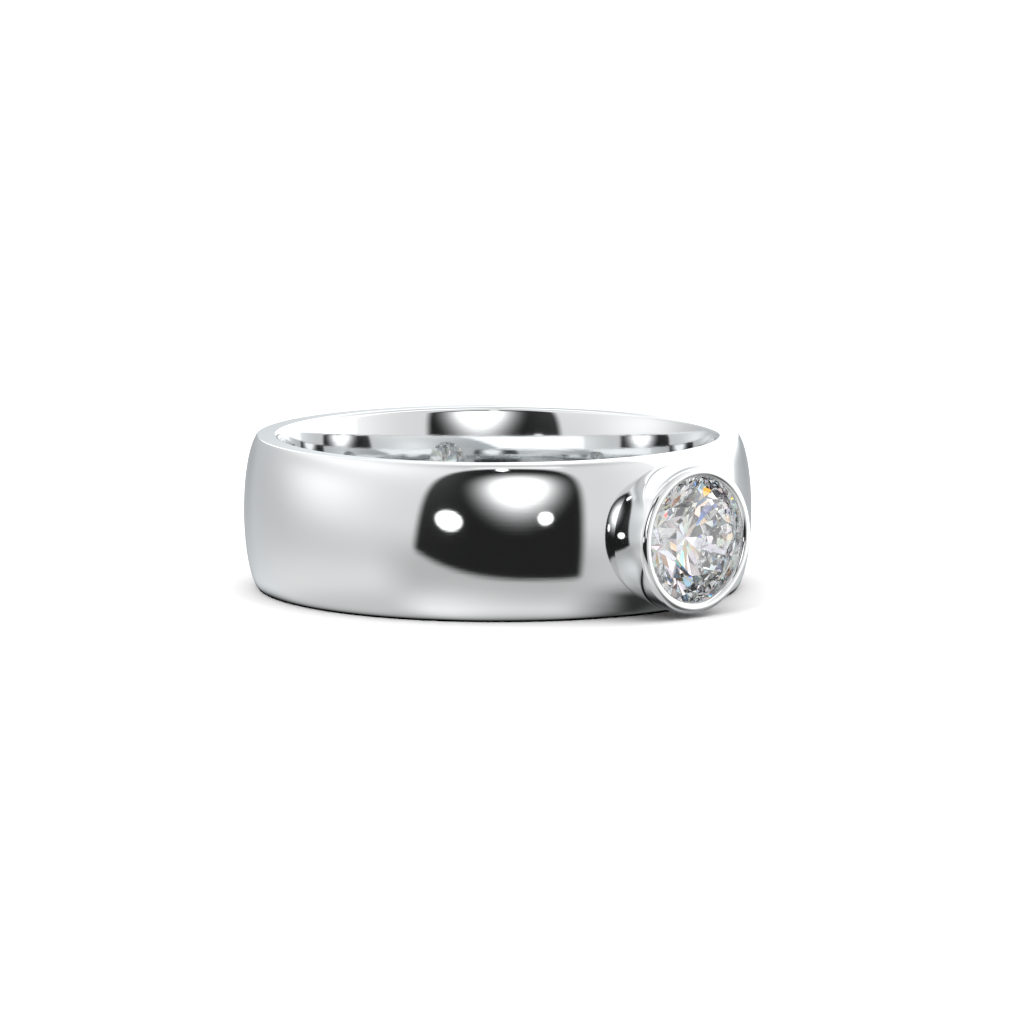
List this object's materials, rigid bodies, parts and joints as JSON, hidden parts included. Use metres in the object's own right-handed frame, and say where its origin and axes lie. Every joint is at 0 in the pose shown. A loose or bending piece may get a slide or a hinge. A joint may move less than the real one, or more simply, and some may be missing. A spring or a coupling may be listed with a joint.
{
  "type": "bezel set ring",
  "caption": "Polished white metal finger ring with a domed band, a comfort-fit inside and a round brilliant stone held in a plain round bezel.",
  "frame": {"origin": "centre of the finger hole, in the plane of the rim that the ring rests on", "axes": "+Z along the finger, up from the rim that it rests on; -Y out through the bezel and the stone; +X to the right when the stone is seen from the front"},
  "size_m": [0.02, 0.0216, 0.006],
  "materials": {
    "white_metal": "mirror polished white gold",
    "clear_stone": "polished colourless stone"
  },
  "bodies": {
    "root": {"shank_and_bezel": "white_metal", "brilliant_stone": "clear_stone"}
  },
  "joints": []
}
